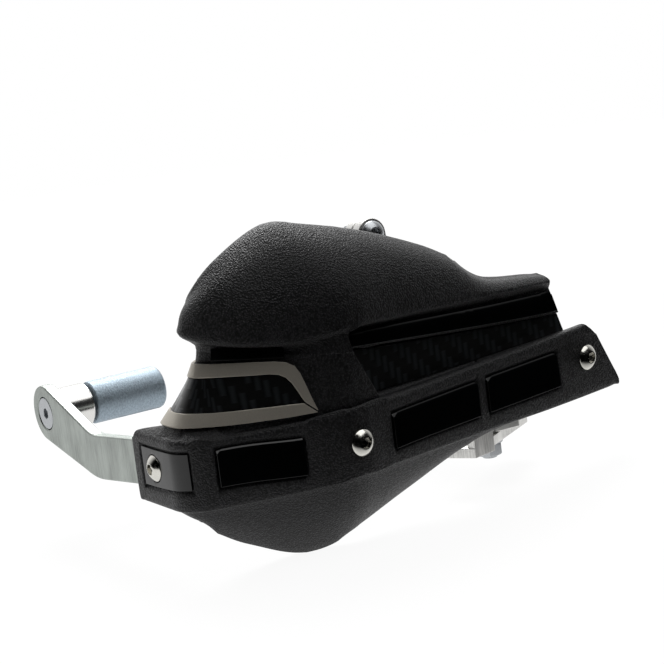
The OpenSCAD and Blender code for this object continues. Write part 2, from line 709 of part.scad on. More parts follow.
// Clamp: ring split across the bolts, front half carries the arm to the bracket
ring_r = bar_d / 2 + bar_clear + ring_t;
bolt_p = on_foot(slot_at, slot_in);
arm_w = 12;
ear_w = 13;
module ring_half(side) {
    difference() {
        union() {
            rotate([0, 90, 0])
                cylinder(r = ring_r, h = clamp_w, center = true, $fn = 96);
            translate([-ear_w / 2, -7, -ear_r])
                cube([ear_w, 14, 2 * ear_r]);
            for (e = [-1, 1])
                translate([0, -7, e * ear_r])
                    rotate([-90, 0, 0])
                        cylinder(d = ear_w, h = 14);
        }
        rotate([0, 90, 0])
            cylinder(r = bar_d / 2 + bar_clear, h = clamp_w + 2, center = true, $fn = 96);
        translate([-clamp_w / 2 - 1, side > 0 ? -40 : -0.5, -50])
            cube([clamp_w + 2, 40.5, 100]);
        for (e = [-1, 1])
            translate([0, -20, e * ear_r])
                rotate([-90, 0, 0])
                    cylinder(d = m6_hole, h = 40);
    }
}

module clamp_arm() {
    q = [bolt_p.x - clamp_x, -bolt_p.y];
    foot = foot_z + bracket_t + seat - clamp_rise;
    color("#b4b8b8")
        difference() {
            union() {
                rotate([-clamp_tilt, 0, 0])
                    ring_half(-1);
                translate([-arm_w / 2, 0, 0])
                    rotate([90, 0, 90])
                        linear_extrude(arm_w)
                            polygon([[-13, 12], [-8, -14], [q.y + 14, foot + 8],
                                [q.y + 14, foot], [q.y - 9, foot], [q.y - 9, foot + 8],
                                [q.y + 2, foot + 20], [-30, -6]]);
                translate([q.x, q.y, foot])
                    cylinder(d = 18, h = 8);
            }
            rotate([0, 90, 0])
                cylinder(r = bar_d / 2 + bar_clear, h = 60, center = true, $fn = 96);
            rotate([-clamp_tilt, 0, 0]) {
                for (e = [-1, 1])
                    translate([0, -60, e * ear_r])
                        rotate([-90, 0, 0])
                            cylinder(d = m6_hole, h = 100);
                translate([-20, -0.5, -60])
                    cube([40, 60, 120]);
                for (e = [-1, 1])
                    translate([0, -7 - 40, e * ear_r])
                        rotate([-90, 0, 0])
                            cylinder(d = button_d + 1.5, h = 40);
            }
            translate([q.x, q.y, foot - 1])
                cylinder(d = m6_hole, h = 60);
            translate([q.x, q.y, foot + 8])
                cylinder(d = button_d + 1.5, h = 30);
        }
}

module clamp_cap() {
    color("#b4b8b8")
        rotate([-clamp_tilt, 0, 0])
            ring_half(1);
}

module clamp_bolts() {
    color("#a8aaac")
        rotate([-clamp_tilt, 0, 0])
            for (e = [-1, 1])
                translate([0, -7 - seat, e * ear_r])
                    rotate([90, 0, 0])
                        button_screw(20.5);
}

module clamp_nuts() {
    color("#a8aaac")
        rotate([-clamp_tilt, 0, 0])
            for (e = [-1, 1])
                translate([0, 7 + seat + nut_h, e * ear_r])
                    rotate([90, 0, 0])
                        plain_nut();
}

module slot_bolt() {
    color("#8d9196")
        from_bar_end()
            translate([bolt_p.x, -bolt_p.y, foot_z + bracket_t + 8 + 2 * seat])
                button_screw(20);
}

module slot_washer() {
    color("#8d9196")
        from_bar_end()
            translate([bolt_p.x, -bolt_p.y, foot_z - 1.6 - seat])
                difference() {
                    cylinder(d = 12, h = 1.6);
                    translate([0, 0, -1])
                        cylinder(d = 6.4, h = 4);
                }
}

module slot_nut() {
    color("#8d9196")
        from_bar_end()
            translate([bolt_p.x, -bolt_p.y, foot_z - 1.6 - 2 * seat - nut_h])
                plain_nut();
}

guard_shell();
side_panel();
front_panel();
badge_panel();
inner_panel();
upper_trim();
lower_trim();
wrap_inlay();
neck_window();
groove_window();
groove_inlay();
backbone_bar();
shell_screws();
shell_nuts();
bar_end_bolt();
bar_end_spacer();
expander_sleeve();
expander_wedge();
slot_bracket();
bracket_bolt();
bracket_nut();
clamp_arm();
clamp_cap();
clamp_bolts();
clamp_nuts();
slot_bolt();
slot_washer();
slot_nut();
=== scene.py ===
"""Looks of a motorcycle hand guard: grained shell, gloss panels, twill inserts, alloy bar."""

import math

import bmesh
import bpy
from mathutils import Matrix, Vector


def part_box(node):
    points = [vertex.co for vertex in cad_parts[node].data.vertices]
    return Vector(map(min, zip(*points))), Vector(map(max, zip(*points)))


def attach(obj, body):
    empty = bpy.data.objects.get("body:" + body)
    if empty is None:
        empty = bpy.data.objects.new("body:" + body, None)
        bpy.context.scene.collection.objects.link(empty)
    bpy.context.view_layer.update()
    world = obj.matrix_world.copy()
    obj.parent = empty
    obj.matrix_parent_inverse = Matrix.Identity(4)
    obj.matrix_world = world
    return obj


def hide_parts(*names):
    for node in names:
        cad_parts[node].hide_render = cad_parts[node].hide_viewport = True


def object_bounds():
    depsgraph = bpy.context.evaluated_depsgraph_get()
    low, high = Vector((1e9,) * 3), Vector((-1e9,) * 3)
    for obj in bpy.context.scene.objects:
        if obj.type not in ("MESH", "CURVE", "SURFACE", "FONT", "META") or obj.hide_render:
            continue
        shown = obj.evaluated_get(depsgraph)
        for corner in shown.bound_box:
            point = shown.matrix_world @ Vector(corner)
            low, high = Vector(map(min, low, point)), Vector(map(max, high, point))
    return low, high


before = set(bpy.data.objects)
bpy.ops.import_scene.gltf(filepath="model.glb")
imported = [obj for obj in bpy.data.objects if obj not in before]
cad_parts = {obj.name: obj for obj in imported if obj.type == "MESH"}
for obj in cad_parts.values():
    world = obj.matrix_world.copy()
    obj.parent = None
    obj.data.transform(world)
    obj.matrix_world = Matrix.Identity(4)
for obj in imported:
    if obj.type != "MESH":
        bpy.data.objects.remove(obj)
CAD_BOX = [list(corner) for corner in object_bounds()]

bl_info = {
    "name": "Motorcycle hand guard",
    "version": (1, 0, 0),
    "blender": (4, 5, 0),
    "location": "View3D > Sidebar > Hand guard",
    "description": "Dresses the hand guard's solids in moulded, gloss, woven and metal finishes",
    "category": "Object",
}

MM = 0.001
BODY = "root"
# Width of the camera's sensor in millimetres
SENSOR = 36.0
# Points of a solid that lie closer than this are one, and faces that bend less are one flat face
SAME_POINT = 0.002 * MM
FLAT_BEND = math.radians(0.6)
# Edges that bend more than these are rounded: on metal, on the trims and on the gloss panels
METAL_EDGE = math.radians(35)
TRIM_EDGE = math.radians(45)
PANEL_EDGE = math.radians(60)
# Two triangles of the shell become one quad where they bend less than this, of any outline
QUAD_BEND = math.radians(70)
ANY_ANGLE = math.radians(180)
# Rounds of subdivision that smooth the shell
SHELL_LEVELS = 2
# A direction that all the panels' outer faces look towards, and how nearly they do; the most
# that such a face bends, and how nearly the faces above its upper edge look up
OUTWARD = Vector((-0.5, -0.86, 0))
OUTWARD_SHARE = 0.4
SHEET_BEND = math.radians(40)
UPWARD_SHARE = 0.6
# The panels' points and faces are sorted along this direction, in which no two are level
SORT_ALONG = Vector((1, 1.7, 2.9))
# Plan of the neck's wrap: its corner's radius, and how far the centre lies inside the shell's box
WRAP_RADIUS = 16 * MM
WRAP_INSET = 20 * MM
# A noise texture's values mostly lie between these
NOISE_LOW, NOISE_HIGH = 0.3, 0.7
# Tows after which the twill repeats, and filaments drawn in a tow
TWILL_REPEAT = 4
FILAMENTS = 9
# Soft lights: places from the object's middle, and widths
KEY_PLACE, KEY_WIDTH = Vector((0.25, 0.6, 0.8)), 0.6
FILL_PLACE, FILL_WIDTH = Vector((0.3, -0.35, 1.0)), 1.1
# The studio's bright side, and how nearly a ray points there where it starts and is full
BRIGHT_SIDE = (0.35, 0.85, 0.4)
BRIGHT_START, BRIGHT_FULL = 0.25, 0.8
# Paper floor: its colour, its radius, the sides of its outline and its gap below the object
PAPER = "#f2f2f2"
FLOOR_RADIUS = 0.9
FLOOR_SIDES = 96
FLOOR_GAP = 0.2 * MM
# In reflections and bounced light it turns from painted shade to pale between these distances,
# away from the camera past the near corner
AWAY = (-0.35, 0.94, 0)
PALE_START, PALE_FULL = -0.09, -0.03
# What the camera sees of it: its white, and the white's share near the object and far from it
FLOOR_WHITE = 1.02
SHADOW_SHARE, SHADOW_NEAR, SHADOW_FAR = 0.91, 0.12, 0.34
# Heights in millimetres between which the shell's edges are well rounded, up to which angle:
# the band's underside, its ledge, the hood's lip, the hood's crest
SOFT_BANDS = ((-46.5, -40.3, 100), (-16.8, -12.5, 80), (6, 25, 120), (25, 60, 55))


def linear(code):
    """An sRGB hex value as linear red, green and blue."""
    channels = [int(code[i:i + 2], 16) / 255 for i in (1, 3, 5)]
    return [c / 12.92 if c <= 0.04045 else ((c + 0.055) / 1.055) ** 2.4 for c in channels]


def rgba(colour):
    return (*colour, 1.0)


def shade(colour, factor):
    """The colour made darker or lighter."""
    return rgba(min(1.0, c * factor) for c in colour)


class GuardColours(bpy.types.PropertyGroup):
    """Colours of the finishes."""
    shell: bpy.props.FloatVectorProperty(
        name="Shell", description="Moulded black plastic of the shell",
        subtype="COLOR", size=3, min=0, max=1, default=linear("#151517"))
    gloss: bpy.props.FloatVectorProperty(
        name="Gloss panels", description="Polished black plastic of the let-in panels",
        subtype="COLOR", size=3, min=0, max=1, default=linear("#060708"))
    trim: bpy.props.FloatVectorProperty(
        name="Trims", description="Warm satin grey of the two trims",
        subtype="COLOR", size=3, min=0, max=1, default=linear("#c0baae"))
    # Painted sheen: the tows are black, and this lighter colour stands for light caught by those
    # that run up and down
    tow_sheen: bpy.props.FloatVectorProperty(
        name="Lighter tows", description="Tows of the twill that run up and down",
        subtype="COLOR", size=3, min=0, max=1, default=linear("#2a2d2f"))
    tow_dark: bpy.props.FloatVectorProperty(
        name="Darker tows", description="Tows of the twill that run lengthways",
        subtype="COLOR", size=3, min=0, max=1, default=linear("#030303"))
    bar: bpy.props.FloatVectorProperty(
        name="Backbone", description="Brushed aluminium of the flat bar",
        subtype="COLOR", size=3, min=0, max=1, default=linear("#aab0ab"))
    spacer: bpy.props.FloatVectorProperty(
        name="Turned aluminium", description="Turned spacer, clamp and slotted bracket",
        subtype="COLOR", size=3, min=0, max=1, default=linear("#e4e3e0"))
    sleeve: bpy.props.FloatVectorProperty(
        name="Sleeve", description="Bluish zinc plating of the expander sleeve",
        subtype="COLOR", size=3, min=0, max=1, default=linear("#a9b7c2"))
    steel: bpy.props.FloatVectorProperty(
        name="Stainless", description="Stainless steel of the visible screws",
        subtype="COLOR", size=3, min=0, max=1, default=linear("#dbd9d2"))
    zinc: bpy.props.FloatVectorProperty(
        name="Zinc plated steel", description="Nuts and the screws behind the shell",
        subtype="COLOR", size=3, min=0, max=1, default=linear("#b9bcbf"))


class GuardSizes(bpy.types.PropertyGroup):
    """Sizes of edges and surface detail."""
    edge_round: bpy.props.FloatProperty(
        name="Metal edge", description="Width of the broken edge on small metal parts",
        unit="LENGTH", min=0, max=1 * MM, default=0.2 * MM)
    bar_round: bpy.props.FloatProperty(
        name="Bar edge", description="Width of the rounded edge on the backbone bar",
        unit="LENGTH", min=0, max=1.5 * MM, default=0.7 * MM)
    cast_round: bpy.props.FloatProperty(
        name="Clamp edge", description="Width of the tumbled edge on the clamp's halves",
        unit="LENGTH", min=0, max=1 * MM, default=0.5 * MM)
    panel_round: bpy.props.FloatProperty(
        name="Panel edge", description="Width of the rounded edge on panels and trims",
        unit="LENGTH", min=0, max=0.5 * MM, default=0.22 * MM)
    panel_crown: bpy.props.FloatProperty(
        name="Panel crown", description="How far the gloss panels' faces stand out of their beds",
        unit="LENGTH", min=0, max=1.2 * MM, default=0.9 * MM)
    panel_brow: bpy.props.FloatProperty(
        name="Panel brow", description="Width of the chamfer along the top of the gloss panels",
        unit="LENGTH", min=0, max=2 * MM, default=1.4 * MM)
    crease_angle: bpy.props.FloatProperty(
        name="Crease angle", description="Edges of the shell sharper than this stay crisp",
        subtype="ANGLE", min=math.radians(10), max=math.radians(60),
        default=math.radians(27))
    soft_crease: bpy.props.FloatProperty(
        name="Soft crease", description="How firmly the rounded edges of the shell are held",
        min=0, max=1, default=0.25)
    grain: bpy.props.FloatProperty(
        name="Shell grain", description="Spacing of the pebbles of the moulded grain",
        unit="LENGTH", min=0.2 * MM, max=3 * MM, default=0.75 * MM)
    tow: bpy.props.FloatProperty(
        name="Tow width", description="Width of one tow of the twill",
        unit="LENGTH", min=1 * MM, max=5 * MM, default=3.2 * MM)


class GuardView(bpy.types.PropertyGroup):
    """Camera and lights."""
    place: bpy.props.FloatVectorProperty(
        name="Camera place", description="Where the camera stands", subtype="TRANSLATION",
        size=3, default=(-0.64897, -1.17590, 0.26610))
    azimuth: bpy.props.FloatProperty(
        name="Azimuth", description="Turn of the camera round the upright axis",
        subtype="ANGLE", default=math.radians(-28))
    elevation: bpy.props.FloatProperty(
        name="Elevation", description="Height of the camera over the horizon",
        subtype="ANGLE", default=math.radians(12))
    roll: bpy.props.FloatProperty(
        name="Roll", description="Turn of the picture about the line of sight",
        subtype="ANGLE", default=math.radians(7.3))
    focal: bpy.props.FloatProperty(
        name="Focal length", description="Focal length on a 36 mm sensor", subtype="DISTANCE",
        unit="CAMERA", min=20, max=400, default=172.7)
    key_power: bpy.props.FloatProperty(
        name="Key light", description="Power of the large soft light above and behind",
        unit="POWER", min=0, default=10)
    fill_power: bpy.props.FloatProperty(
        name="Fill light", description="Power of the wide soft light above and in front",
        unit="POWER", min=0, default=6)


def colours():
    return bpy.context.scene.guard_colours


def sizes():
    return bpy.context.scene.guard_sizes


# Materials


def add_node(tree, kind, sockets=None, output=0, **settings):
    """Adds a shader node with its settings, values and links, and gives one of its outputs."""
    node = tree.nodes.new(f"ShaderNode{kind}")
    for name, value in settings.items():
        setattr(node, name, value)
    for socket, value in (sockets or {}).items():
        if isinstance(value, bpy.types.NodeSocket):
            tree.links.new(value, node.inputs[socket])
        else:
            node.inputs[socket].default_value = value
    return node.outputs[output] if node.outputs else None


def new_material(name):
    """A material without nodes, and its tree."""
    material = bpy.data.materials.new(name)
    material.use_nodes = True
    material.node_tree.nodes.clear()
    return material, material.node_tree


def on_piece(tree, spacing):
    """Places on the piece itself, counted in these lengths along X, Y and Z."""
    place = add_node(tree, "TexCoord", output="Object")
    return add_node(tree, "Mapping", {"Vector": place, "Scale": [1 / s for s in spacing]})


def mottled(name, colour, spacing, detail, rough, tones, sheen, depth=None, contrast=(0, 1),
            metallic=1.0):
    """A finish whose one fine pattern sets its tone, its roughness and its relief."""
    material, tree = new_material(name)
    marks = add_node(tree, "TexNoise", {"Vector": on_piece(tree, spacing), "Scale": 1.0,
                                        "Detail": detail, "Roughness": rough})
    tone = add_node(tree, "MapRange", {"Value": marks, "From Min": contrast[0],
                                       "From Max": contrast[1]})
    sockets = {
        "Metallic": metallic,
        "Base Color": add_node(tree, "Mix", {
            0: tone, 6: shade(colour, tones[0]), 7: shade(colour, tones[1])},
            2, data_type="RGBA"),
        "Roughness": add_node(tree, "MapRange", {
            "Value": marks, "From Min": NOISE_LOW, "From Max": NOISE_HIGH,
            "To Min": sheen[0], "To Max": sheen[1]}),
    }
    if depth is not None:
        sockets["Normal"] = add_node(tree, "Bump", {"Height": marks, "Distance": depth})
    add_node(tree, "OutputMaterial", {"Surface": add_node(tree, "BsdfPrincipled", sockets)})
    return material


def moulded_grain():
    """Injection-moulded ABS from an etched mould: black pebble grain that sparkles in light, with
    painted glints on the pebbles' tops.
    """
    colour, grain = colours().shell, sizes().grain
    material, tree = new_material("moulded_abs_grain")
    cells = add_node(tree, "TexVoronoi", {"Vector": on_piece(tree, [grain] * 3), "Scale": 1.0})
    pebbles = add_node(tree, "MapRange", {"Value": cells, "From Min": 0.1, "From Max": 0.7,
                                          "To Min": 1.0, "To Max": 0.0})
    fine = add_node(tree, "TexNoise", {"Vector": on_piece(tree, [grain * 0.45] * 3),
                                       "Scale": 1.0, "Detail": 1.0})
    patches = add_node(tree, "TexNoise", {"Vector": on_piece(tree, [14 * MM] * 3),
                                          "Scale": 1.0, "Detail": 3.0})
    relief = add_node(tree, "Math", {0: fine, 1: 0.9, 2: pebbles}, operation="MULTIPLY_ADD")
    uneven = add_node(tree, "Math", {0: patches, 1: 0.3, 2: relief}, operation="MULTIPLY_ADD")
    # Black between the pebbles and grey on their tops: the etched grain's relief, with the grey
    # partly painted glints of light caught on the tops
    grain_and_glints = add_node(tree, "MapRange", {"Value": uneven, "From Min": 0.7, "From Max": 1.6})
    shader = add_node(tree, "BsdfPrincipled", {
        "Specular IOR Level": 0.36,
        "Base Color": add_node(tree, "Mix", {
            0: grain_and_glints, 6: shade(colour, 0.1), 7: shade(colour, 3.2)}, 2, data_type="RGBA"),
        "Roughness": add_node(tree, "MapRange", {
            "Value": relief, "From Min": 0.3, "From Max": 1.5, "To Min": 0.52, "To Max": 0.3}),
        "Normal": add_node(tree, "Bump", {"Height": relief, "Distance": 0.2 * MM}),
    })
    add_node(tree, "OutputMaterial", {"Surface": shader})
    return material


def gloss_plastic():
    """Polished black acrylic-like plastic: mirror sheen, the slightest ripple from moulding."""
    colour = colours().gloss
    material, tree = new_material("gloss_black_plastic")
    ripple = add_node(tree, "TexNoise", {"Vector": on_piece(tree, [7 * MM] * 3),
                                         "Scale": 1.0, "Detail": 1.0})
    tone = add_node(tree, "TexNoise", {"Vector": on_piece(tree, [30 * MM] * 3), "Scale": 1.0})
    shader = add_node(tree, "BsdfPrincipled", {
        "IOR": 1.46,
        "Base Color": add_node(tree, "Mix", {
            0: tone, 6: shade(colour, 0.8), 7: shade(colour, 1.2)}, 2, data_type="RGBA"),
        "Roughness": add_node(tree, "MapRange", {
            "Value": tone, "From Min": NOISE_LOW, "From Max": NOISE_HIGH,
            "To Min": 0.10, "To Max": 0.16}),
        "Normal": add_node(tree, "Bump", {"Height": ripple, "Distance": 0.02 * MM}),
    })
    add_node(tree, "OutputMaterial", {"Surface": shader})
    return material


def satin_trim():
    """Satin metallic lacquer, warm grey: fine flakes, soft broad highlights."""
    # Real flakes are far finer; they are drawn 0.4 mm apart so that they show
    return mottled("satin_metallic_lacquer", colours().trim, [0.4 * MM] * 3, 2.0, 0.7,
                   tones=(0.8, 1.15), sheen=(0.36, 0.48), depth=0.015 * MM, metallic=0.35)


def carbon_twill():
    """Two-by-two twill of black carbon tows under clear lacquer, from the piece's own UV map."""
    light, dark, tow = colours().tow_sheen, colours().tow_dark, sizes().tow
    material, tree = new_material("lacquered_carbon_twill")
    cells = add_node(tree, "VectorMath", {
        0: add_node(tree, "UVMap", uv_map="weave"), 1: (1 / tow, 1 / tow, 1)},
        operation="MULTIPLY")
    across = add_node(tree, "SeparateXYZ", {"Vector": cells}, "X")
    up = across.node.outputs["Y"]
    column, row = (add_node(tree, "Math", {0: way}, operation="FLOOR") for way in (across, up))
    step = add_node(tree, "Math", {0: add_node(tree, "Math", {0: column, 1: row}),
                                   1: TWILL_REPEAT}, operation="FLOORED_MODULO")
    upright = add_node(tree, "Math", {0: step, 1: TWILL_REPEAT / 2 - 0.5},
                       operation="LESS_THAN")
    arches, heights = [], []
    for way in (across, up):
        part = add_node(tree, "Math", {0: way}, operation="FRACT")
        turn = add_node(tree, "Math", {0: part, 1: math.pi}, operation="MULTIPLY")
        arches.append(add_node(tree, "Math", {0: turn}, operation="SINE"))
        # Real filaments are too fine to show, so a tow has a few broad ones
        turn = add_node(tree, "Math", {0: way, 1: 2 * math.pi * FILAMENTS},
                        operation="MULTIPLY")
        filaments = add_node(tree, "Math", {0: turn}, operation="SINE")
        heights.append(add_node(tree, "Math", {0: filaments, 1: 0.06, 2: arches[-1]},
                                operation="MULTIPLY_ADD"))
    height = add_node(tree, "Mix", {0: upright, 2: heights[1], 3: heights[0]})
    # Painted sheen: the upright tows take the lighter colour, most along each tow's middle
    shine = add_node(tree, "Math", {0: upright, 1: arches[0]}, operation="MULTIPLY")
    shader = add_node(tree, "BsdfPrincipled", {
        "Coat Weight": 0.4, "Coat Roughness": 0.05, "Specular IOR Level": 0.3,
        "Base Color": add_node(tree, "Mix", {0: shine, 6: rgba(dark), 7: rgba(light)},
                               2, data_type="RGBA"),
        "Roughness": add_node(tree, "MapRange", {"Value": upright, "To Min": 0.5,
                                                 "To Max": 0.34}),
        "Normal": add_node(tree, "Bump", {"Height": height, "Distance": 0.05 * MM}),
    })
    add_node(tree, "OutputMaterial", {"Surface": shader})
    return material


def brushed_alloy(name, colour):
    """Aluminium brushed across its length: fine upright scratches, soft patches."""
    material, tree = new_material(name)
    # Real scratches are finer; they are drawn 0.45 mm apart so that they show
    scratches = add_node(tree, "TexNoise", {
        "Vector": on_piece(tree, [0.45 * MM, 0.45 * MM, 12 * MM]),
        "Scale": 1.0, "Detail": 3.0, "Roughness": 0.75})
    patches = add_node(tree, "TexNoise", {
        "Vector": on_piece(tree, [9 * MM, 9 * MM, 16 * MM]), "Scale": 1.0})
    mixed = add_node(tree, "Math", {0: patches, 1: 0.6, 2: scratches},
                     operation="MULTIPLY_ADD")
    tone = add_node(tree, "MapRange", {"Value": mixed, "From Min": 0.6, "From Max": 1.0})
    shader = add_node(tree, "BsdfPrincipled", {
        "Metallic": 1.0,
        "Base Color": add_node(tree, "Mix", {
            0: tone, 6: shade(colour, 0.62), 7: shade(colour, 1.18)}, 2, data_type="RGBA"),
        "Roughness": add_node(tree, "MapRange", {
            "Value": scratches, "From Min": NOISE_LOW, "From Max": NOISE_HIGH,
            "To Min": 0.32, "To Max": 0.5}),
        "Normal": add_node(tree, "Bump", {"Height": scratches, "Distance": 0.06 * MM}),
    })
    add_node(tree, "OutputMaterial", {"Surface": shader})
    return material


def turned_alloy():
    """Turned aluminium: bright, with the faint rings that the lathe leaves."""
    return mottled("turned_aluminium", colours().spacer, [0.25 * MM, 8 * MM, 8 * MM], 2.0, 0.6,
                   tones=(0.9, 1.0), sheen=(0.14, 0.24), depth=0.006 * MM)


def cast_alloy():
    """Machined and tumbled aluminium of the clamp: satin, finely pitted."""
    return mottled("tumbled_aluminium", colours().spacer, [0.6 * MM] * 3, 3.0, 0.6,
                   tones=(0.75, 0.95), sheen=(0.3, 0.42), depth=0.02 * MM)


def zinc_grain():
    """Zinc-plated sleeve with a fine turned grain: bluish, broken into short bright strokes."""
    return mottled("grained_zinc_plating", colours().sleeve, [0.6 * MM, 0.9 * MM, 0.9 * MM],
                   3.0, 0.7, tones=(0.6, 1.0), sheen=(0.42, 0.62), depth=0.28 * MM,
                   contrast=(0.35, 0.65))


def stainless_steel():
    """Stainless steel screw: polished dome with faint forming marks."""
    return mottled("stainless_steel", colours().steel, [1.5 * MM] * 3, 3.0, 0.5,
                   tones=(0.85, 1.0), sheen=(0.13, 0.25))


def plated_steel():
    """Zinc-plated steel: dull bluish grey with slight clouding."""
    return mottled("zinc_plated_steel", colours().zinc, [1.2 * MM] * 3, 3.0, 0.6,
                   tones=(0.8, 1.05), sheen=(0.26, 0.42))


# Pieces


def copy_of(node):
    """The node's solid as a merged bmesh."""
    bm = bmesh.new()
    bm.from_mesh(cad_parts[node].data)
    bmesh.ops.remove_doubles(bm, verts=bm.verts, dist=SAME_POINT)
    return bm


def flat_faces(bm):
    """Merges the triangles of flat faces."""
    bmesh.ops.dissolve_limit(bm, angle_limit=FLAT_BEND, verts=bm.verts, edges=bm.edges)


def sharp_edges(bm, angle):
    """Edges between two faces that bend more than the angle."""
    return [e for e in bm.edges if len(e.link_faces) == 2 and e.calc_face_angle(0) > angle]


def round_edges(bm, width, angle):
    """Rounds the edges that bend more than the angle."""
    bmesh.ops.bevel(bm, geom=sharp_edges(bm, angle), offset=width, segments=2,
                    profile=0.5, affect="EDGES", material=-1, clamp_overlap=False)


def finish_piece(name, bm, material, node, sharp=METAL_EDGE):
    """Makes the bmesh a piece that stands for a node."""
    mesh = bpy.data.meshes.new(name)
    bm.to_mesh(mesh)
    bm.free()
    mesh.shade_smooth()
    mesh.set_sharp_from_angle(angle=sharp)
    mesh.materials.append(material)
    obj = bpy.data.objects.new(name, mesh)
    bpy.context.scene.collection.objects.link(obj)
    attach(obj, BODY)
    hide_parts(node)
    return obj


def keep_flats(obj):
    """Shades by face area, so that large faces stay flat beside their rounded edges."""
    modifier = obj.modifiers.new("keep_flats", "WEIGHTED_NORMAL")
    modifier.keep_sharp = True


def machined(node, material, width=None):
    """A node's solids with their edges broken."""
    bm = copy_of(node)
    flat_faces(bm)
    round_edges(bm, sizes().edge_round if width is None else width, METAL_EDGE)
    keep_flats(finish_piece(f"{node}_finished", bm, material, node))


def is_soft(edge):
    """True for an edge in one of the shell's well rounded stretches."""
    heights = [vert.co.z / MM for vert in edge.verts]
    angle = math.degrees(edge.calc_face_angle(0))
    return any(low < min(heights) and max(heights) < high and angle < limit
               for low, high, limit in SOFT_BANDS)


def hold_shape(obj, rounds=3):
    """Moves the cage until the smoothed surface passes through the solid's own points."""
    verts = obj.data.vertices
    target = [vert.co.copy() for vert in verts]
    for _ in range(rounds):
        smoothed = obj.evaluated_get(bpy.context.evaluated_depsgraph_get())
        mesh = smoothed.to_mesh()
        shifts = [goal - vert.co for goal, vert in zip(target, mesh.vertices)]
        smoothed.to_mesh_clear()
        for vert, shift in zip(verts, shifts):
            vert.co += shift
        obj.data.update()


class GUARD_OT_shell(bpy.types.Operator):
    """Moulded shell: the solid's faces as quads, smoothed between their crisp lines"""
    bl_idname = "guard.shell"
    bl_label = "Moulded shell"

    def execute(self, context):
        bm = copy_of("guard_shell")
        bmesh.ops.join_triangles(bm, faces=bm.faces, angle_face_threshold=QUAD_BEND,
                                 angle_shape_threshold=ANY_ANGLE)
        crease = bm.edges.layers.float.new("crease_edge")
        for edge in sharp_edges(bm, sizes().crease_angle):
            edge[crease] = sizes().soft_crease if is_soft(edge) else 1.0
        obj = finish_piece("moulded_shell", bm, moulded_grain(), "guard_shell",
                           ANY_ANGLE)
        modifier = obj.modifiers.new("smooth", "SUBSURF")
        modifier.levels = modifier.render_levels = SHELL_LEVELS
        hold_shape(obj)
        return {"FINISHED"}


def outer_sheet(bm):
    """The faces that look outwards, grown from the largest one over gentle bends."""
    seen = [face for face in bm.faces if face.normal.dot(OUTWARD) > OUTWARD_SHARE]
    queue = [max(seen, key=lambda face: face.calc_area())]
    sheet = set(queue)
    while queue:
        for edge in queue.pop().edges:
            for face in edge.link_faces:
                if face not in sheet and edge.calc_face_angle(0) < SHEET_BEND:
                    sheet.add(face)
                    queue.append(face)
    return sheet


def raise_brow(bm, crown, brow):
    """Lifts the outer sheet, and chamfers its upper edge so that it catches the light."""
    sheet = outer_sheet(bm)
    faces = [face for face in bm.faces if face in sheet]
    lifts = {}
    for face in faces:
        for vert in face.verts:
            lifts[vert] = lifts.get(vert, Vector()) + face.normal * face.calc_area()
    for vert, lift in lifts.items():
        vert.co += lift.normalized() * crown
    rim = [edge for face in faces for edge in face.edges
           if any(other not in sheet and other.normal.z > UPWARD_SHARE
                  for other in edge.link_faces)]
    bmesh.ops.bevel(bm, geom=rim, offset=brow, segments=1, profile=0.5, affect="EDGES",
                    material=-1, clamp_overlap=True)


def sort_parts(bm):
    """Puts points and faces in the same order each run, which the second of two bevels doesn't."""
    bm.verts.sort(key=lambda vert: vert.co.dot(SORT_ALONG))
    bm.faces.sort(key=lambda face: face.calc_center_median().dot(SORT_ALONG))


class GUARD_OT_panels(bpy.types.Operator):
    """Gloss panels of the band, and the strips under the hood and in the groove"""
    bl_idname = "guard.panels"
    bl_label = "Gloss panels"

    def execute(self, context):
        gloss = gloss_plastic()
        # These two stay level with their beds
        flush = ("side_panel", "neck_window")
        for node in (*flush, "front_panel", "badge_panel", "inner_panel", "groove_window"):
            bm = copy_of(node)
            if node not in flush:
                raise_brow(bm, sizes().panel_crown, sizes().panel_brow)
            round_edges(bm, sizes().panel_round, PANEL_EDGE)
            sort_parts(bm)
            keep_flats(finish_piece(f"{node}_gloss", bm, gloss, node))
        return {"FINISHED"}


class GUARD_OT_trims(bpy.types.Operator):
    """Two satin grey trims that frame the neck's woven inlay"""
    bl_idname = "guard.trims"
    bl_label = "Satin trims"

    def execute(self, context):
        satin = satin_trim()
        for node in ("upper_trim", "lower_trim"):
            bm = copy_of(node)
            round_edges(bm, sizes().panel_round, TRIM_EDGE)
            keep_flats(finish_piece(f"{node}_satin", bm, satin, node))
        return {"FINISHED"}


def weave_map(bm):
    """UV map in metres: along the wrap's plan path, and up."""
    uv = bm.loops.layers.uv.new("weave")
    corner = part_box("guard_shell")[0]
    centre = Vector((corner.x + WRAP_INSET, corner.y + WRAP_INSET))
    for face in bm.faces:
        for loop in face.loops:
            p = loop.vert.co
            if p.x < centre.x and p.y > centre.y:
                along = centre.y - p.y
            elif p.x < centre.x:
                turn = math.atan2(p.x - centre.x, centre.y - p.y)
                along = (turn + math.pi / 2) * WRAP_RADIUS
            else:
                along = (math.pi / 2) * WRAP_RADIUS + (p.x - centre.x)
            loop[uv].uv = (along, p.z)


class GUARD_OT_inserts(bpy.types.Operator):
    """Woven inserts of the neck and of the long groove"""
    bl_idname = "guard.inserts"
    bl_label = "Woven inserts"

    def execute(self, context):
        twill = carbon_twill()
        for node in ("wrap_inlay", "groove_inlay"):
            bm = copy_of(node)
            weave_map(bm)
            finish_piece(f"{node}_twill", bm, twill, node)
        return {"FINISHED"}


class GUARD_OT_bar(bpy.types.Operator):
    """Flat backbone bar and the slotted bracket behind it"""
    bl_idname = "guard.bar"
    bl_label = "Backbone bar"

    def execute(self, context):
        machined("backbone_bar", brushed_alloy("brushed_aluminium", colours().bar),
                 sizes().bar_round)
        machined("slot_bracket", brushed_alloy("bright_brushed_aluminium", colours().spacer))
        return {"FINISHED"}


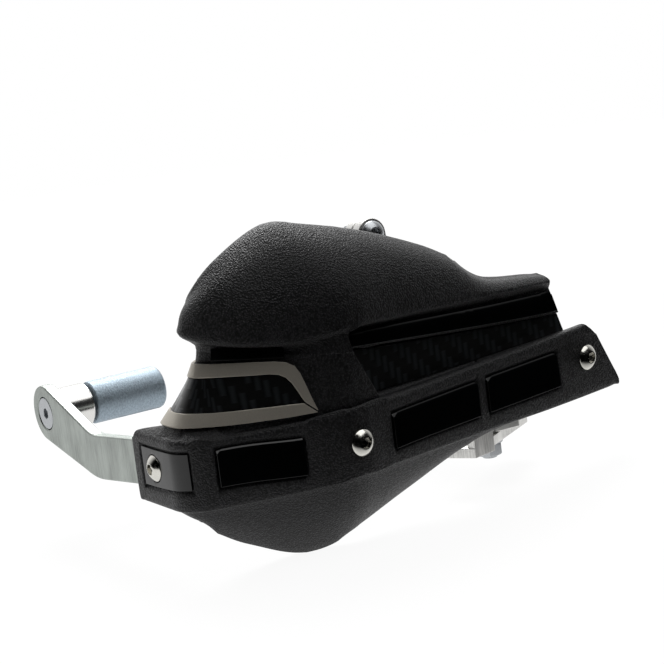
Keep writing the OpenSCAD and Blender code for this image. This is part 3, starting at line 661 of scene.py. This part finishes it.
class GUARD_OT_bar_end(bpy.types.Operator):
    """Spacer, expander sleeve and its wedge"""
    bl_idname = "guard.bar_end"
    bl_label = "Bar-end parts"

    def execute(self, context):
        machined("bar_end_spacer", turned_alloy())
        machined("expander_sleeve", zinc_grain())
        machined("expander_wedge", plated_steel())
        return {"FINISHED"}


class GUARD_OT_clamp(bpy.types.Operator):
    """Handlebar clamp"""
    bl_idname = "guard.clamp"
    bl_label = "Clamp"

    def execute(self, context):
        alloy = cast_alloy()
        for node in ("clamp_arm", "clamp_cap"):
            machined(node, alloy, sizes().cast_round)
        return {"FINISHED"}


class GUARD_OT_fasteners(bpy.types.Operator):
    """Screws, nuts and washer"""
    bl_idname = "guard.fasteners"
    bl_label = "Fasteners"

    def execute(self, context):
        stainless, plated = stainless_steel(), plated_steel()
        machined("shell_screws", stainless)
        machined("bar_end_bolt", plated)
        for node in ("shell_nuts", "bracket_bolt", "bracket_nut", "clamp_bolts", "clamp_nuts",
                     "slot_bolt", "slot_washer", "slot_nut"):
            machined(node, plated)
        return {"FINISHED"}


# Stage


def camera_axes(view):
    """The camera's right, up and back directions."""
    back = Vector((math.sin(view.azimuth) * math.cos(view.elevation),
                   -math.cos(view.azimuth) * math.cos(view.elevation),
                   math.sin(view.elevation)))
    right = Vector((math.cos(view.azimuth), math.sin(view.azimuth), 0))
    up = back.cross(right)
    turned_right = right * math.cos(view.roll) - up * math.sin(view.roll)
    turned_up = up * math.cos(view.roll) + right * math.sin(view.roll)
    return turned_right, turned_up, back


def soft_light(name, place, target, width, power):
    """A square soft box aimed at a point."""
    data = bpy.data.lights.new(name, "AREA")
    data.shape = "SQUARE"
    data.size = width
    data.energy = power
    obj = bpy.data.objects.new(name, data)
    obj.location = place
    obj.rotation_euler = (place - target).to_track_quat("Z", "Y").to_euler()
    bpy.context.scene.collection.objects.link(obj)


def background_rays(tree):
    """1 for rays that see the background: from the camera, or by way of metal or glass."""
    camera = add_node(tree, "LightPath", output="Is Camera Ray")
    path = camera.node.outputs
    seen = add_node(tree, "Math", {0: camera, 1: path["Is Glossy Ray"]})
    return add_node(tree, "Math", {0: seen, 1: path["Is Transmission Ray"]}, use_clamp=True)


def studio_world():
    """White studio: bright behind and above, dark on the camera's side."""
    world = bpy.data.worlds.new("studio")
    world.use_nodes = True
    tree = world.node_tree
    tree.nodes.clear()
    ray = add_node(tree, "TexCoord", output="Generated")
    toward = add_node(tree, "VectorMath", {0: ray, 1: BRIGHT_SIDE}, "Value",
                      operation="DOT_PRODUCT")
    room = add_node(tree, "MapRange", {"Value": toward, "From Min": BRIGHT_START,
                                       "From Max": BRIGHT_FULL})
    camera = add_node(tree, "LightPath", output="Is Camera Ray")
    level = add_node(tree, "Mix", {0: camera, 2: room, 3: 1.0})
    sky = add_node(tree, "Background", {"Color": rgba((1, 1, 1)), "Strength": level})
    add_node(tree, "OutputWorld", {"Surface": sky})
    bpy.context.scene.world = world


def floor_material(corner, middle):
    """Pale matt paper, seen as white with a faint shadow; in reflections and bounced light it is
    painted dark in front of the object, as painted shade, and glows white behind it.
    """
    material, tree = new_material("pale_paper")
    place = add_node(tree, "TexCoord", output="Object")
    offset = add_node(tree, "VectorMath", {0: place, 1: corner}, operation="SUBTRACT")
    behind = add_node(tree, "VectorMath", {0: offset, 1: AWAY}, "Value",
                      operation="DOT_PRODUCT")
    pale = add_node(tree, "MapRange", {"Value": behind, "From Min": PALE_START,
                                       "From Max": PALE_FULL})
    camera = add_node(tree, "LightPath", output="Is Camera Ray")
    level = add_node(tree, "Mix", {0: camera, 2: pale, 3: FLOOR_WHITE})
    # Painted shade: for all but camera rays the paper turns black in front of the object
    paper = add_node(tree, "BsdfDiffuse", {"Color": add_node(tree, "Mix", {
        0: level, 6: rgba((0, 0, 0)), 7: rgba(linear(PAPER))}, 2, data_type="RGBA")})
    white = add_node(tree, "Emission", {"Strength": level})
    distance = add_node(tree, "VectorMath", {0: place, 1: middle}, "Value",
                        operation="DISTANCE")
    share = add_node(tree, "Math", {0: background_rays(tree), 1: add_node(tree, "MapRange", {
        "Value": distance, "From Min": SHADOW_NEAR, "From Max": SHADOW_FAR,
        "To Min": SHADOW_SHARE, "To Max": 1.0})}, operation="MULTIPLY")
    add_node(tree, "OutputMaterial", {"Surface": add_node(tree, "MixShader", {
        0: share, 1: paper, 2: white})})
    return material


class GUARD_OT_stage(bpy.types.Operator):
    """Camera, lights, white studio and pale floor"""
    bl_idname = "guard.stage"
    bl_label = "Stage"

    def execute(self, context):
        view = context.scene.guard_view
        data = bpy.data.cameras.new("photo_camera")
        data.sensor_width = SENSOR
        data.lens = view.focal
        camera = bpy.data.objects.new("photo_camera", data)
        right, up, back = camera_axes(view)
        turn = Matrix((right, up, back)).transposed().to_4x4()
        camera.matrix_world = Matrix.Translation(view.place) @ turn
        context.scene.collection.objects.link(camera)
        context.scene.camera = camera

        low, high = (Vector(corner) for corner in CAD_BOX)
        middle = (low + high) / 2
        bm = bmesh.new()
        bmesh.ops.create_circle(bm, cap_ends=True, segments=FLOOR_SIDES, radius=FLOOR_RADIUS)
        bmesh.ops.translate(bm, verts=bm.verts, vec=(middle.x, middle.y, low.z - FLOOR_GAP))
        mesh = bpy.data.meshes.new("floor")
        bm.to_mesh(mesh)
        bm.free()
        mesh.materials.append(floor_material(low, (middle.x, middle.y, low.z)))
        floor = bpy.data.objects.new("floor", mesh)
        context.scene.collection.objects.link(floor)

        soft_light("key", middle + KEY_PLACE, middle, KEY_WIDTH, view.key_power)
        soft_light("fill", middle + FILL_PLACE, middle, FILL_WIDTH, view.fill_power)
        studio_world()
        context.scene.view_settings.view_transform = "Standard"
        return {"FINISHED"}


class GUARD_PT_panel(bpy.types.Panel):
    """Lists the guard's pieces and settings"""
    bl_idname = "GUARD_PT_panel"
    bl_label = "Hand guard"
    bl_space_type = "VIEW_3D"
    bl_region_type = "UI"
    bl_category = "Hand guard"

    def draw(self, context):
        for operator in OPERATORS:
            self.layout.operator(operator.bl_idname)
        for group in (context.scene.guard_colours, context.scene.guard_sizes,
                      context.scene.guard_view):
            box = self.layout.box()
            for name in group.__annotations__:
                box.prop(group, name)


GROUPS = {"guard_colours": GuardColours, "guard_sizes": GuardSizes, "guard_view": GuardView}
OPERATORS = (GUARD_OT_stage, GUARD_OT_shell, GUARD_OT_panels, GUARD_OT_trims,
             GUARD_OT_inserts, GUARD_OT_bar, GUARD_OT_bar_end, GUARD_OT_clamp,
             GUARD_OT_fasteners)


def register():
    for cls in (*GROUPS.values(), *OPERATORS, GUARD_PT_panel):
        bpy.utils.register_class(cls)
    for name, group in GROUPS.items():
        setattr(bpy.types.Scene, name, bpy.props.PointerProperty(type=group))


def unregister():
    for name in GROUPS:
        delattr(bpy.types.Scene, name)
    for cls in reversed((*GROUPS.values(), *OPERATORS, GUARD_PT_panel)):
        bpy.utils.unregister_class(cls)


def main():
    register()
    bpy.ops.guard.stage()
    bpy.ops.guard.shell()
    bpy.ops.guard.panels()
    bpy.ops.guard.trims()
    bpy.ops.guard.inserts()
    bpy.ops.guard.bar()
    bpy.ops.guard.bar_end()
    bpy.ops.guard.clamp()
    bpy.ops.guard.fasteners()


if __name__ == "__main__":
    main()
